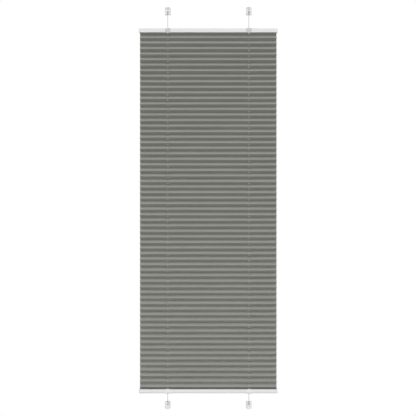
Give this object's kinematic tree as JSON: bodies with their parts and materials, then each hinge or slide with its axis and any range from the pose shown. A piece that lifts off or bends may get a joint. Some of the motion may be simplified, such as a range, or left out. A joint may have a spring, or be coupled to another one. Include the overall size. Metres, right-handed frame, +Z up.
{
  "type": "pleated blind",
  "caption": "Pleated blind: folded grey cloth between slim white rails that slide on taut cords held by screw-on tension shoes.",
  "frame": {"origin": "centre of the four screw holes of the tension shoes, on the window frame's plane", "axes": "+X along the rails, +Y towards the window frame, +Z up"},
  "size_m": [0.5, 0.0245, 1.4526],
  "materials": {
    "rail_paint": "white powder coat, satin",
    "end_cap_plastic": "moulded, satin",
    "guide_plastic": "moulded, pale grey",
    "shoe_plastic": "moulded, pale, semi-gloss",
    "bead_plastic": "moulded",
    "strip_plastic": "extruded",
    "cord_braid": "braided polyester",
    "pleat_cloth": "woven, pleated and heat-set"
  },
  "bodies": {
    "mount_set": {"upper_left_shoe": "shoe_plastic", "upper_right_shoe": "shoe_plastic", "lower_left_shoe": "shoe_plastic", "lower_right_shoe": "shoe_plastic", "upper_left_cord_bead": "bead_plastic", "upper_right_cord_bead": "bead_plastic", "lower_left_cord_bead": "bead_plastic", "lower_right_cord_bead": "bead_plastic", "left_tension_cord": "cord_braid", "right_tension_cord": "cord_braid"},
    "headrail_set": {"headrail": "rail_paint", "headrail_fabric_strip": "strip_plastic", "headrail_left_end_cap": "end_cap_plastic", "headrail_right_end_cap": "end_cap_plastic", "headrail_left_cord_guide": "guide_plastic", "headrail_right_cord_guide": "guide_plastic", "pleated_fabric": "pleat_cloth"},
    "bottom_rail_set": {"bottom_rail": "rail_paint", "bottom_rail_fabric_strip": "strip_plastic", "bottom_rail_left_end_cap": "end_cap_plastic", "bottom_rail_right_end_cap": "end_cap_plastic", "bottom_rail_left_cord_guide": "guide_plastic", "bottom_rail_right_cord_guide": "guide_plastic"}
  },
  "joints": [
    {"name": "headrail_slide", "type": "slide", "parent": "mount_set", "child": "headrail_set", "axis": [0, 0, 1], "range_m": [-0.611, 0], "deforming": ["pleated_fabric", "left_tension_cord", "right_tension_cord"]},
    {"name": "bottom_rail_slide", "type": "slide", "parent": "mount_set", "child": "bottom_rail_set", "axis": [0, 0, 1], "range_m": [0, 0.6016], "deforming": ["pleated_fabric", "left_tension_cord", "right_tension_cord"]}
  ]
}
